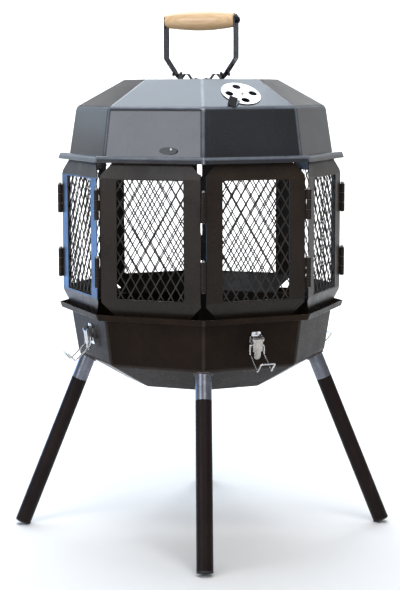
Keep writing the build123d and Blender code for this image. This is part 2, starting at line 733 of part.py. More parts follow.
foot_mid = CROWN_Z + BRACKET_T / 2
with BuildPart() as handle_brackets:
    with BuildSketch(handle_plane):
        for side in (-1, 1):
            with BuildLine() as arch:
                FilletPolyline(*[(side * out, foot_mid + up) for out, up in BRACKET_LINE], radius=2.0)
            trace(arch.line, BRACKET_T)
    extrude(amount=BRACKET_W / 2, both=True)
    for side in (-1, 1):
        with BuildSketch(cross_plane.offset(side * BRACKET_EAR)):
            with Locations((0, PIVOT_Z)):
                Circle(BRACKET_W / 2)
            with Locations((0, (PIVOT_Z + CROWN_Z) / 2)):
                Rectangle(BRACKET_W, PIVOT_Z - CROWN_Z)
            with Locations((0, PIVOT_Z)):
                Circle(PIVOT_PIN_D / 2 + RUNNING_FIT, mode=Mode.SUBTRACT)
        extrude(amount=side * BRACKET_T)
    with Locations(*bracket_rivet_places):
        Cylinder(RIVET_D / 2 + FIT, 6 * SHEET, mode=Mode.SUBTRACT)
save(handle_brackets, "handle_brackets")

bracket_rivet = rivet(RIVET_D / 2, RIVET_HEAD_D / 2, RIVET_HEAD_T, -SHEET, BRACKET_T)
save_placed(bracket_rivet, bracket_rivet_places, "bracket_rivets")


# ---- latches, each in its own frame: X across, Y up the wall, Z outward ----------------------
with BuildPart() as latch_base:
    with BuildSketch():
        with Locations((0, (LATCH_PLATE_LOW + EAR_RADIUS) / 2)):
            RectangleRounded(LATCH_PLATE_W, EAR_RADIUS - LATCH_PLATE_LOW, 2.0)
        with Locations((0, LATCH_PLATE_TOP / 2)):
            RectangleRounded(LATCH_TAB_W, LATCH_PLATE_TOP, 2.0)
    extrude(amount=LATCH_PLATE_T)
    for side in (-1, 1):
        with BuildSketch(Plane.YZ.offset(side * EAR_INNER)):
            with Locations((0, LATCH_PIVOT_OUT)):
                Circle(EAR_RADIUS)
            with Locations((0, LATCH_PIVOT_OUT / 2)):
                Rectangle(2 * EAR_RADIUS, LATCH_PIVOT_OUT)
        extrude(amount=side * EAR_T)
    with BuildSketch(Plane.YZ):
        with Locations((0, LATCH_PIVOT_OUT)):
            Circle(LATCH_PIN_D / 2 + FIT)
    extrude(amount=LATCH_PLATE_W, both=True, mode=Mode.SUBTRACT)
    with BuildSketch():
        with Locations(*[(0, y) for y in LATCH_RIVETS]):
            Circle(RIVET_D / 2 + FIT)
    extrude(amount=LATCH_PLATE_T, mode=Mode.SUBTRACT)

with BuildPart() as latch_pin:
    with BuildSketch(Plane.YZ):
        with Locations((0, LATCH_PIVOT_OUT)):
            Circle(LATCH_PIN_D / 2)
    extrude(amount=EAR_INNER + EAR_T + 0.4, both=True)

LEVER_FRONT = LATCH_PIVOT_OUT + LEVER_HEAD_RADIUS
LEVER_BACK = LATCH_PIVOT_OUT - LEVER_HEAD_RADIUS
with BuildPart() as latch_lever:
    for side in (-1, 1):
        with BuildSketch(Plane.YZ.offset(side * LEVER_W / 2)):
            with BuildLine():
                ThreePointArc((0, LEVER_FRONT), (LEVER_HEAD_RADIUS, LATCH_PIVOT_OUT), (0, LEVER_BACK))
                Polyline(
                    (0, LEVER_BACK),
                    (LEVER_LOW + 5, LEVER_BACK + 1.2),
                    (LEVER_LOW, LEVER_FRONT - 3.0),
                    (LEVER_LOW, LEVER_FRONT),
                    (0, LEVER_FRONT),
                )
            make_face()
        extrude(amount=-side * LEVER_T)
    with BuildSketch(Plane.XY.offset(LEVER_FRONT - LEVER_T)):
        with BuildLine():
            Polyline(
                (-TONGUE_W / 2, LEVER_LOW - TONGUE_L + TONGUE_W / 2),
                (-TONGUE_W / 2, LEVER_LOW),
                (-LEVER_W / 2, LEVER_LOW),
                (-LEVER_W / 2, 0),
                (LEVER_W / 2, 0),
                (LEVER_W / 2, LEVER_LOW),
                (TONGUE_W / 2, LEVER_LOW),
                (TONGUE_W / 2, LEVER_LOW - TONGUE_L + TONGUE_W / 2),
            )
            ThreePointArc(
                (TONGUE_W / 2, LEVER_LOW - TONGUE_L + TONGUE_W / 2),
                (0, LEVER_LOW - TONGUE_L),
                (-TONGUE_W / 2, LEVER_LOW - TONGUE_L + TONGUE_W / 2),
            )
        make_face()
    extrude(amount=LEVER_T)
    with BuildSketch(Plane.YZ):
        with Locations((0, LATCH_PIVOT_OUT)):
            Circle(LATCH_PIN_D / 2 + RUNNING_FIT)
        with Locations(LOOP_PIVOT):
            Circle(LOOP_WIRE / 2 + RUNNING_FIT)
    extrude(amount=LEVER_W, both=True, mode=Mode.SUBTRACT)


def loop_corners(half_width):
    """The corners of one side of the wire loop, from its pivot to its hook."""
    down, out = LOOP_PIVOT
    corners = [(half_width, down, out)]
    for length, angle in LOOP_RUNS:
        down -= length * cos(radians(angle))
        out += length * sin(radians(angle))
        corners.append((half_width, down, out))
    return corners


LOOP_END = LEVER_W / 2 - LEVER_T - 0.6
with BuildPart() as latch_loop:
    with BuildLine() as loop_wire:
        FilletPolyline(
            (-LOOP_END, *LOOP_PIVOT),
            *loop_corners(-LOOP_HALF_W),
            *reversed(loop_corners(LOOP_HALF_W)),
            (LOOP_END, *LOOP_PIVOT),
            radius=LOOP_BEND,
        )
    with BuildSketch(Plane(origin=loop_wire.line @ 0, z_dir=loop_wire.line % 0)):
        Circle(LOOP_WIRE / 2)
    sweep(path=loop_wire.line)

latch_rivet = rivet(RIVET_D / 2, RIVET_HEAD_D / 2, RIVET_HEAD_T, -SHEET, LATCH_PLATE_T)
latch_places = [latch_place(a) for a in QUARTERS.values()]
latch_rivet_places = [p * Location((0, y, 0)) for p in latch_places for y in LATCH_RIVETS]
for quarter, place in zip(QUARTERS, latch_places):
    save_placed(latch_base.part, [place], f"latch_base_{quarter}")
    save_placed(latch_lever.part, [place], f"latch_lever_{quarter}")
    save_placed(latch_loop.part, [place], f"latch_loop_{quarter}")
save_placed(latch_pin.part, latch_places, "latch_pins")
save_placed(latch_rivet, latch_rivet_places, "latch_rivets")
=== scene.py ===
"""Looks of the octagonal screened fire pit: enamelled pressings, mesh screens, plated latches."""

import json
import math
import random

import bmesh
import bpy
from mathutils import Matrix, Vector
from mathutils.bvhtree import BVHTree


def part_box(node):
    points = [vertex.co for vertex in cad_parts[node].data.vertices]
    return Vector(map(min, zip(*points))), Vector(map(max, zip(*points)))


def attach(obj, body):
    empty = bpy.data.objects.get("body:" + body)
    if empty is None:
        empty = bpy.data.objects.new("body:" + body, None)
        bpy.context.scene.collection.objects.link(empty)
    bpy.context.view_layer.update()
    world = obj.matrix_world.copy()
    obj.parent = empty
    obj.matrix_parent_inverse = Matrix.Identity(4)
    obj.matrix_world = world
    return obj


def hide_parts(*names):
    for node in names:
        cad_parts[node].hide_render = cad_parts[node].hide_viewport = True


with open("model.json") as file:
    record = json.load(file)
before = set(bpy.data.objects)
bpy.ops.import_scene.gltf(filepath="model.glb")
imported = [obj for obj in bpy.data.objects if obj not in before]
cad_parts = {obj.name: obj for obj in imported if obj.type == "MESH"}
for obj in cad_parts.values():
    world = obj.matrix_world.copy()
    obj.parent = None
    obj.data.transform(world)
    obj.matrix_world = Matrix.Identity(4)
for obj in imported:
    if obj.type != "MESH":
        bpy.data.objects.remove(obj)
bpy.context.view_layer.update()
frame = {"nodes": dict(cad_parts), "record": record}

NODES = frame["nodes"]
HALF_FACE = math.radians(22.5)  # half a side of the octagon, seen from its axis
LID_RIM_Z, LID_SHOULDER_Z, BOWL_SHOULDER_Z = 0.613, 0.688, 0.290
CORNER_LINE = (0.0007, 0.0034)  # a painted highlight line fades out between these distances from a corner line
LEVEL_LINE = (0.0006, 0.0028)  # the same beside a level crease
LEG_AZIMUTHS = {"front": 0.0, "right": 90.0, "back": 178.8, "left": 270.0}


# ---- node helpers ----------------------------------------------------------------------------
class Paint:
    """A material under construction, with short calls for the nodes that it uses."""

    def __init__(self, name, **sockets):
        self.material = bpy.data.materials.new(name)
        self.material.use_nodes = True
        self.tree = self.material.node_tree
        self.tree.nodes.clear()
        self.shader = self.node("ShaderNodeBsdfPrincipled")
        output = self.node("ShaderNodeOutputMaterial")
        self.link(self.shader.outputs["BSDF"], output.inputs["Surface"])
        for socket, value in sockets.items():
            self.shader.inputs[socket.replace("_", " ")].default_value = value
        self.place = self.node("ShaderNodeTexCoord").outputs["Object"]
        self.height = None

    def node(self, kind, **values):
        made = self.tree.nodes.new(kind)
        for key, value in values.items():
            setattr(made, key, value)
        return made

    def link(self, source, target):
        self.tree.links.new(source, target)

    def feed(self, socket, value):
        """Link a node's output to a socket, or set the socket to a plain value."""
        if isinstance(value, bpy.types.NodeSocket):
            self.link(value, socket)
        else:
            socket.default_value = value

    def turned(self, scale=(1, 1, 1), rotation=(0, 0, 0), location=(0, 0, 0)):
        """Object coordinates turned, then stretched."""
        first = self.node("ShaderNodeMapping")
        first.inputs["Rotation"].default_value = [math.radians(a) for a in rotation]
        first.inputs["Location"].default_value = location
        self.link(self.place, first.inputs["Vector"])
        second = self.node("ShaderNodeMapping")
        second.inputs["Scale"].default_value = scale
        self.link(first.outputs["Vector"], second.inputs["Vector"])
        return second.outputs["Vector"]

    def noise(self, scale, detail=4.0, rough=0.55, distort=0.0, at=None):
        made = self.node("ShaderNodeTexNoise")
        made.inputs["Scale"].default_value = scale
        made.inputs["Detail"].default_value = detail
        made.inputs["Roughness"].default_value = rough
        made.inputs["Distortion"].default_value = distort
        self.link(at or self.place, made.inputs["Vector"])
        return made.outputs["Fac"]

    def cells(self, scale, feature="F1", at=None):
        made = self.node("ShaderNodeTexVoronoi", feature=feature)
        made.inputs["Scale"].default_value = scale
        self.link(at or self.place, made.inputs["Vector"])
        return made.outputs["Distance"]

    def waves(self, scale, distort, detail, at, direction="X"):
        made = self.node("ShaderNodeTexWave", bands_direction=direction)
        made.inputs["Scale"].default_value = scale
        made.inputs["Distortion"].default_value = distort
        made.inputs["Detail"].default_value = detail
        made.inputs["Detail Scale"].default_value = 1.6
        self.link(at, made.inputs["Vector"])
        return made.outputs["Fac"]

    def ramp(self, value, *stops):
        """A value or colour ramp; each stop is (position, number or colour)."""
        made = self.node("ShaderNodeValToRGB")
        points = made.color_ramp.elements
        while len(points) < len(stops):
            points.new(0.5)
        for point, (position, colour) in zip(points, stops):
            grey = isinstance(colour, (int, float))
            point.position = position
            point.color = (colour, colour, colour, 1) if grey else (*colour, 1)
        self.link(value, made.inputs["Fac"])
        return made.outputs["Color"]

    def remap(self, value, low, high, new_low, new_high):
        made = self.node("ShaderNodeMapRange")
        for socket, number in zip(made.inputs[1:5], (low, high, new_low, new_high)):
            socket.default_value = number
        self.link(value, made.inputs["Value"])
        return made.outputs["Result"]

    def maths(self, operation, a, b):
        made = self.node("ShaderNodeMath", operation=operation)
        self.feed(made.inputs[0], a)
        self.feed(made.inputs[1], b)
        return made.outputs["Value"]

    def mix(self, share, a, b):
        """The colour a with b over it by the share."""
        made = self.node("ShaderNodeMix", data_type="RGBA")
        self.feed(made.inputs["Factor"], share)
        for socket, colour in ((made.inputs[6], a), (made.inputs[7], b)):
            self.feed(socket, colour if isinstance(colour, bpy.types.NodeSocket) else (*colour, 1))
        return made.outputs[2]

    def mask(self, value, low, high):
        """0 below low, 1 above high, a straight slope between."""
        return self.ramp(value, (low, 0.0), (high, 1.0))

    def clouded(self, scale, detail, low, high, dark, light):
        """Two tones that drift into each other."""
        return self.mix(self.mask(self.noise(scale, detail), low, high), dark, light)

    def marked(self, tone, marks, share, colour):
        """The tone with marks of a colour over it."""
        return self.mix(self.maths("MULTIPLY", marks, share), tone, colour)

    def upward(self):
        """How far the surface faces up, from -1 to 1."""
        split = self.node("ShaderNodeSeparateXYZ")
        self.link(self.node("ShaderNodeNewGeometry").outputs["Normal"], split.inputs["Vector"])
        return split.outputs["Z"]

    def level(self):
        """Height over the ground at rest, in metres."""
        split = self.node("ShaderNodeSeparateXYZ")
        self.link(self.place, split.inputs["Vector"])
        return split.outputs["Z"]

    def creases(self, heights):
        """1 along the octagon's eight corner lines and the lines at these heights, else 0."""
        split = self.node("ShaderNodeSeparateXYZ")
        self.link(self.place, split.inputs["Vector"])
        x, y, z = (split.outputs[axis] for axis in "XYZ")
        # the ping-pong runs from 0 on a corner line to 22.5 degrees in the middle of a face
        off_corner = self.maths("PINGPONG", self.maths("ARCTAN2", x, y), HALF_FACE)
        square = self.maths("ADD", self.maths("MULTIPLY", x, x), self.maths("MULTIPLY", y, y))
        away = self.maths("MULTIPLY", off_corner, self.maths("POWER", square, 0.5))
        mask = self.remap(away, *CORNER_LINE, 1.0, 0.0)
        for height in heights:
            away = self.maths("ABSOLUTE", self.maths("SUBTRACT", z, height), 0.0)
            mask = self.maths("MAXIMUM", mask, self.remap(away, *LEVEL_LINE, 1.0, 0.0))
        return mask

    def bump(self, height, depth):
        """One more layer of relief, depth metres high."""
        made = self.node("ShaderNodeBump")
        made.inputs["Strength"].default_value = 1.0
        made.inputs["Distance"].default_value = depth
        self.link(height, made.inputs["Height"])
        if self.height is not None:
            self.link(self.height, made.inputs["Normal"])
        self.height = made.outputs["Normal"]

    def finish(self, colour, roughness):
        self.link(colour, self.shader.inputs["Base Color"])
        self.link(roughness, self.shader.inputs["Roughness"])
        if self.height is not None:
            self.link(self.height, self.shader.inputs["Normal"])
        return self.material


# ---- materials -------------------------------------------------------------------------------
def enamel(
    name, deep, pale, gloss, dust, ior=1.45, waviness=0.0006, scorch=None, shine=0.5, crease=None
):
    """Stoved heat-proof enamel on pressed sheet: orange peel, soft dents, dust, fine scratches,
    and painted highlights along the creases.
    """
    p = Paint(name, IOR=ior, Specular_IOR_Level=shine)
    tone = p.clouded(7, 5, 0.3, 0.7, deep, pale)
    speck = p.mask(p.noise(420, 2), 0.60, 0.74)
    tone = p.marked(tone, speck, 0.25, [c * 2.2 + 0.01 for c in pale])
    if scorch is not None:
        low, high, colour = scorch
        heat = p.remap(p.level(), low, high, 0.0, 1.0)
        blotch = p.mask(p.noise(14, 6, 0.65), 0.35, 0.75)
        tone = p.mix(p.maths("MULTIPLY", p.maths("MULTIPLY", heat, blotch), 0.7), tone, colour)
    lying = p.remap(p.upward(), 0.2, 1.0, 0.0, 1.0)
    film = p.mask(p.noise(26, 7, 0.7), 0.42, 0.82)
    settled = p.maths("MULTIPLY", p.maths("MULTIPLY", lying, film), dust)
    tone = p.mix(settled, tone, (0.30, 0.29, 0.28))
    streak = p.noise(60, 3, 0.5, 0.4, p.turned((1.0, 1.0, 0.12)))
    rubbed = p.mask(streak, 0.63, 0.70)
    tone = p.marked(tone, rubbed, 0.10, [c * 1.8 + 0.012 for c in pale])
    # painted highlight: the tone is lightened along the octagon's corner lines and level creases,
    # broken up by noise
    if crease is not None:
        heights, highlight_tone, most = crease
        patchy = p.remap(p.noise(35, 5, 0.6), 0.3, 0.65, 0.55, 1.0)
        painted_highlight = p.maths("MULTIPLY", p.creases(heights), patchy)
        tone = p.marked(tone, painted_highlight, most, highlight_tone)
    roughness = p.remap(p.noise(18, 6, 0.65), 0.3, 0.75, gloss * 0.8, gloss * 1.45)
    roughness = p.maths("ADD", roughness, p.maths("MULTIPLY", settled, 0.5))
    p.bump(p.noise(6.5, 2, 0.4), waviness)
    p.bump(p.noise(650, 2, 0.5), 0.00004)
    slanted = p.turned((1, 0.25, 1), (20, 35, 10))
    scratch = p.mask(p.cells(55, "DISTANCE_TO_EDGE", slanted), 0.0, 0.006)
    p.bump(scratch, 0.00001)
    return p.finish(tone, roughness)


def plated(name, bright, dull, gloss, streak_scale=(1, 1, 1), brushed=0.0, tint=None):
    """Plated or bare steel: cloudy plating, streaks, handling marks and pits."""
    p = Paint(name, Metallic=1.0)
    cloud = p.mask(p.noise(130, 6, 0.6), 0.3, 0.75)
    tone = p.mix(cloud, bright, dull)
    if tint is not None:
        stain = p.mask(p.noise(75, 7, 0.7, 0.6), 0.50, 0.72)
        tone = p.marked(tone, stain, 0.55, tint)
    grain = p.noise(900, 3, 0.6, 0.0, p.turned(streak_scale))
    tone = p.mix(p.maths("MULTIPLY", p.mask(grain, 0.45, 0.7), brushed), tone, dull)
    pits = p.mask(p.cells(700), 0.04, 0.16)
    roughness = p.remap(p.noise(90, 6, 0.7), 0.25, 0.8, gloss * 0.65, gloss * 1.6)
    p.bump(grain, 0.00001 + 0.00004 * brushed)
    p.bump(p.noise(60, 4), 0.00015)
    p.bump(pits, 0.00002)
    return p.finish(tone, roughness)


def painted_tube():
    """Dark matt stoved paint on the legs, rubbed near the feet and dusty above the ground."""
    p = Paint("leg_paint", IOR=1.3, Specular_IOR_Level=0.25)
    tone = p.clouded(16, 6, 0.3, 0.7, (0.0098, 0.0056, 0.0056), (0.016, 0.0095, 0.0092))
    scuff = p.mask(p.noise(120, 6, 0.7, 0.5, p.turned((1, 1, 0.3))), 0.62, 0.72)
    near_foot = p.remap(p.level(), 0.0, 0.12, 0.55, 0.08)
    tone = p.marked(tone, scuff, near_foot, (0.10, 0.085, 0.075))
    speck = p.mask(p.noise(520, 2), 0.62, 0.75)
    tone = p.marked(tone, speck, 0.3, (0.05, 0.04, 0.04))
    roughness = p.remap(p.noise(45, 5, 0.6), 0.3, 0.75, 0.34, 0.52)
    p.bump(p.noise(800, 2), 0.00005)
    p.bump(p.noise(70, 3), 0.0001)
    return p.finish(tone, roughness)


def burnt_mesh():
    """Matt heat-proof paint on the screens' mesh, browned and sooty from the fire."""
    p = Paint("mesh_paint", IOR=1.4)
    tone = p.clouded(30, 6, 0.3, 0.7, (0.010, 0.009, 0.008), (0.030, 0.024, 0.019))
    rust = p.mask(p.noise(210, 6, 0.7), 0.60, 0.74)
    tone = p.marked(tone, rust, 0.45, (0.085, 0.042, 0.020))
    roughness = p.remap(p.noise(160, 5), 0.3, 0.75, 0.42, 0.7)
    p.bump(p.noise(900, 3), 0.00008)
    p.bump(p.cells(1400), 0.00003)
    return p.finish(tone, roughness)


GRAIN_SHIFT = (0.0, 0.009, -0.802)


def lacquered_wood(axis_turn):
    """Pale turned hardwood under clear lacquer, its grain along the grip."""
    p = Paint("handle_wood", Coat_Weight=0.55, Coat_Roughness=0.14, IOR=1.5)
    along = p.turned((0.11, 1, 1), (0, 0, axis_turn), GRAIN_SHIFT)
    warp = p.noise(38, 4, 0.5, 0.0, along)
    rings = p.waves(150, 5.5, 3.0, along, "Y")
    figure = p.maths("ADD", p.maths("MULTIPLY", rings, 0.30), p.maths("MULTIPLY", warp, 0.70))
    tone = p.ramp(
        figure,
        (0.25, (0.74, 0.510, 0.290)),
        (0.45, (0.70, 0.465, 0.252)),
        (0.62, (0.655, 0.420, 0.218)),
        (0.85, (0.58, 0.355, 0.175)),
    )
    fine_grain = p.turned((0.05, 1, 1), (0, 0, axis_turn))
    pores = p.mask(p.noise(900, 3, 0.7, 0.0, fine_grain), 0.58, 0.68)
    tone = p.marked(tone, pores, 0.30, (0.30, 0.16, 0.07))
    soiled = p.mask(p.noise(45, 6, 0.65), 0.48, 0.8)
    tone = p.marked(tone, soiled, 0.16, (0.34, 0.20, 0.10))
    roughness = p.remap(p.noise(90, 5), 0.3, 0.75, 0.30, 0.48)
    p.bump(p.maths("SUBTRACT", 1.0, pores), 0.00006)
    p.bump(figure, 0.00005)
    return p.finish(tone, roughness)


def rubber():
    """Black rubber of the leg caps, gritty where it meets the ground."""
    p = Paint("foot_rubber", IOR=1.45)
    tone = p.clouded(90, 6, 0.3, 0.75, (0.010, 0.010, 0.010), (0.035, 0.033, 0.031))
    grit = p.mask(p.noise(380, 4, 0.7), 0.58, 0.7)
    tone = p.marked(tone, grit, 0.4, (0.12, 0.105, 0.09))
    roughness = p.remap(p.noise(200, 4), 0.3, 0.75, 0.62, 0.85)
    p.bump(p.noise(520, 5, 0.7), 0.0002)
    return p.finish(tone, roughness)


def sooty_grate():
    """Bare steel of the fire grate under soot, ash and rust."""
    p = Paint("grate_steel", Metallic=0.6)
    tone = p.clouded(40, 6, 0.3, 0.75, (0.030, 0.027, 0.025), (0.11, 0.095, 0.085))
    ash = p.mask(p.noise(150, 7, 0.75), 0.52, 0.7)
    tone = p.marked(tone, ash, 0.5, (0.26, 0.25, 0.24))
    scale_rust = p.mask(p.noise(260, 6, 0.7), 0.60, 0.72)
    tone = p.marked(tone, scale_rust, 0.5, (0.13, 0.055, 0.022))
    roughness = p.remap(p.noise(170, 5), 0.3, 0.75, 0.5, 0.85)
    p.bump(p.noise(420, 6, 0.7), 0.0003)
    return p.finish(tone, roughness)


def socket_metal():
    """Thin grey heat-proof paint over the tube stubs, worn to a metallic sheen."""
    p = Paint("socket_steel", Metallic=0.75)
    tone = p.clouded(60, 6, 0.3, 0.7, (0.14, 0.147, 0.178), (0.23, 0.24, 0.28))
    scuff = p.mask(p.noise(150, 6, 0.7, 0.4, p.turned((1, 1, 0.4))), 0.60, 0.72)
    tone = p.marked(tone, scuff, 0.45, (0.035, 0.033, 0.036))
    roughness = p.remap(p.noise(80, 5, 0.6), 0.3, 0.75, 0.22, 0.40)
    p.bump(p.noise(700, 2), 0.00005)
    p.bump(p.noise(90, 3), 0.00012)
    return p.finish(tone, roughness)


def weld_metal():
    """Enamelled weld bead, thinner paint over rippled metal."""
    p = Paint("weld_bead", IOR=1.5, Metallic=0.35)
    tone = p.clouded(220, 5, 0.35, 0.7, (0.030, 0.024, 0.023), (0.13, 0.10, 0.095))
    roughness = p.remap(p.noise(400, 4), 0.3, 0.75, 0.25, 0.5)
    p.bump(p.noise(900, 4, 0.6), 0.00015)
    return p.finish(tone, roughness)


LID = enamel(
    "lid_enamel", deep=(0.012, 0.0125, 0.016), pale=(0.020, 0.021, 0.027),
    gloss=0.17, dust=0.07, ior=1.6, waviness=0.0012,
    # painted highlight in pale blue-grey along the lid's corner lines, shoulder and rim
    crease=((LID_SHOULDER_Z, LID_RIM_Z), (0.22, 0.25, 0.30), 0.62),
)
BOWL = enamel(
    "bowl_enamel", deep=(0.0100, 0.0066, 0.0052), pale=(0.0175, 0.0115, 0.0090),
    gloss=0.26, dust=0.10, ior=1.35, waviness=0.0010,
    scorch=(0.30, 0.37, (0.034, 0.021, 0.012)), shine=0.06,
    # painted highlight along the bowl's corner lines and shoulder
    crease=((BOWL_SHOULDER_Z,), (0.060, 0.050, 0.043), 0.5),
)
SCREEN = enamel(
    "screen_paint", deep=(0.0115, 0.0082, 0.0062), pale=(0.0195, 0.0140, 0.0108),
    gloss=0.27, dust=0.08, ior=1.42, waviness=0.0006,
    scorch=(0.40, 0.60, (0.030, 0.019, 0.012)), shine=0.30,
)
BLACK_PART = enamel(
    "small_part_black", deep=(0.009, 0.009, 0.010), pale=(0.017, 0.017, 0.019),
    gloss=0.30, dust=0.12, ior=1.45, waviness=0.0003,
)
CHROME = plated(
    "latch_chrome", bright=(0.83, 0.83, 0.85), dull=(0.52, 0.52, 0.54),
    gloss=0.11, streak_scale=(1, 1, 0.1), brushed=0.12,
)
LEVER = plated(
    "lever_steel", bright=(0.60, 0.57, 0.53), dull=(0.33, 0.31, 0.285),
    gloss=0.27, streak_scale=(1, 1, 0.06), brushed=0.4, tint=(0.30, 0.25, 0.20),
)
DAMPER = plated(
    "damper_steel", bright=(0.76, 0.75, 0.74), dull=(0.54, 0.53, 0.52),
    gloss=0.34, streak_scale=(0.2, 1, 1), brushed=0.3, tint=(0.60, 0.52, 0.43),
)
HANDLE = plated(
    "handle_steel", bright=(0.036, 0.039, 0.053), dull=(0.014, 0.014, 0.018),
    gloss=0.26, streak_scale=(1, 1, 0.07), brushed=0.35, tint=(0.05, 0.038, 0.03),
)
PIN = plated(
    "pin_steel", bright=(0.36, 0.35, 0.34), dull=(0.16, 0.15, 0.14),
    gloss=0.34, streak_scale=(1, 1, 0.1), brushed=0.3, tint=(0.13, 0.075, 0.04),
)
WOOD = lacquered_wood(22.5)
LEG = painted_tube()
MESH = burnt_mesh()
RUBBER = rubber()
GRATE = sooty_grate()
WELD = weld_metal()
SOCKET = socket_metal()

FINISHES = {
    "lid_enamel": LID, "bowl_enamel": BOWL, "screen_paint": SCREEN, "mesh_paint": MESH,
    "leg_paint": LEG, "small_part_black": BLACK_PART, "grate_steel": GRATE, "pin_steel": PIN,
    "damper_steel": DAMPER, "handle_steel": HANDLE, "latch_chrome": CHROME, "lever_steel": LEVER,
    "handle_wood": WOOD, "foot_rubber": RUBBER, "socket_steel": SOCKET,
}
for part in frame["record"]["subparts"]:
    node = NODES[part["node"]]
    node.data.materials.clear()
    node.data.materials.append(FINISHES[part["material_slot"]])


# ---- building helpers ------------------------------------------------------------------------
def side_matrix(azimuth, apothem, z):
    """Frame on an octagon's side: X to the right seen from outside, Y up, Z outward."""
    a = math.radians(azimuth)
    out = Vector((math.sin(a), -math.cos(a), 0))
    across = Vector((math.cos(a), math.sin(a), 0))
    up = Vector((0, 0, 1))
    turn = Matrix((across, up, out)).transposed().to_4x4()
    return Matrix.Translation(out * apothem + up * z) @ turn


def add_piece(name, mesh, material, body, matrix=None):
    """A new object of this mesh that rides on a body."""
    piece = bpy.data.objects.new(name, mesh)
    bpy.context.scene.collection.objects.link(piece)
    if not mesh.materials:
        mesh.materials.append(material)
    if matrix is not None:
        piece.matrix_world = matrix
    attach(piece, body)
    return piece


# ---- expanded-metal mesh of the screens ------------------------------------------------------
SHEET = 0.0012
PITCH_X, PITCH_Z = 0.0165, 0.0275
MESH_HALF_W = 0.0662
STRAND_W, STRAND_T = 0.0021, 0.0011
STRAND_TILT = math.radians(32)
STRAND_BOW, STRAND_WAIST = 0.00025, 0.16  # half way along: rise in metres, share of width lost
mesh_low, mesh_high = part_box("screen_mesh_1")
MESH_MIDDLE = (mesh_low.z + mesh_high.z) / 2
MESH_HALF_H = (mesh_high.z - mesh_low.z) / 2
MESH_OUT = -1.5 * SHEET  # middle of the mesh sheet, from the outer face of the screens
SCREEN_CORNER_R = 0.227
SCREEN_APOTHEM = SCREEN_CORNER_R * math.cos(HALF_FACE)
FACE_AZIMUTHS = [22.5 + 45 * k for k in range(8)]


def ribbon(bm, start, end, steps=4):
    """One strand between two bonds: a flat bar that rolls as it leaves each bond."""
    way = end - start
    flat = Vector((0, 0, 1)).cross(way).normalized()
    rings = []
    for i in range(steps + 1):
        t = i / steps
        roll = STRAND_TILT * math.sin(math.pi * t) * (1 if way.x * way.y > 0 else -1)
        wide = flat * math.cos(roll) + Vector((0, 0, 1)) * math.sin(roll)
        thick = Vector((0, 0, 1)) * math.cos(roll) - flat * math.sin(roll)
        centre = start + way * t + Vector((0, 0, STRAND_BOW * math.sin(math.pi * t)))
        half_w = STRAND_W / 2 * (1.0 - STRAND_WAIST * math.sin(math.pi * t))
        corners = ((-1, -1), (1, -1), (1, 1), (-1, 1))
        rings.append([
            bm.verts.new(centre + wide * (half_w * u) + thick * (STRAND_T / 2 * v))
            for u, v in corners
        ])
    for low, high in zip(rings, rings[1:]):
        for k in range(4):
            n = (k + 1) % 4
            bm.faces.new((low[k], low[n], high[n], high[k]))
    bm.faces.new(rings[0][::-1])
    bm.faces.new(rings[-1])


def bond(bm, centre):
    """The uncut land where four strands meet."""
    half_w, half_h, half_t = STRAND_W * 0.62, STRAND_W * 1.05, STRAND_T * 0.56
    outline = [(0, -half_h), (half_w, -half_h * 0.35), (half_w, half_h * 0.35), (0, half_h),
               (-half_w, half_h * 0.35), (-half_w, -half_h * 0.35)]
    back = [bm.verts.new(centre + Vector((x, y, -half_t))) for x, y in outline]
    face = [bm.verts.new(centre + Vector((x, y, half_t))) for x, y in outline]
    bm.faces.new(back[::-1])
    bm.faces.new(face)
    for k in range(6):
        n = (k + 1) % 6
        bm.faces.new((back[k], back[n], face[n], face[k]))


def expanded_metal():
    """The whole mesh panel about its own middle."""
    bm = bmesh.new()
    columns = int(MESH_HALF_W / PITCH_X)
    rows = int(MESH_HALF_H / PITCH_Z) + 1
    # bonds lie on a grid of half pitches, where both steps are even or both are odd
    points = {
        (i, j)
        for i in range(-2 * columns, 2 * columns + 1)
        for j in range(-2 * rows, 2 * rows + 1)
        if (i + j) % 2 == 0
    }

    def at(i, j):
        return Vector((i * PITCH_X / 2, j * PITCH_Z / 2, MESH_OUT))

    for i, j in sorted(points):
        centre = at(i, j)
        if abs(centre.x) > MESH_HALF_W:
            continue
        if abs(centre.y) < MESH_HALF_H - STRAND_W:
            bond(bm, centre)
        for side in (-1, 1):
            if (i + side, j + 1) not in points:
                continue
            end = at(i + side, j + 1)
            if abs(end.x) > MESH_HALF_W:
                continue
            low = max(0.0, (-MESH_HALF_H - centre.y) / (end.y - centre.y))
            high = min(1.0, (MESH_HALF_H - centre.y) / (end.y - centre.y))
            if high - low > 0.1:
                ribbon(bm, centre.lerp(end, low), centre.lerp(end, high))
    mesh = bpy.data.meshes.new("expanded_metal")
    bm.to_mesh(mesh)
    bm.free()
    return mesh


panel_mesh = expanded_metal()
for number, azimuth in enumerate(FACE_AZIMUTHS, 1):
    piece = add_piece(
        f"expanded_mesh_{number}", panel_mesh, MESH, "screen",
        side_matrix(azimuth, SCREEN_APOTHEM, MESH_MIDDLE),
    )
    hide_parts(f"screen_mesh_{number}")


# ---- spot welds that hold the mesh to the frames, on the inside --------------------------------
NUGGET_SIDES = 10
NUGGET_RINGS = ((0.0, 1.0), (0.45, 0.82), (0.8, 0.45))  # height and radius of each ring
NUGGET_H = 0.6  # the dome's height over its radius


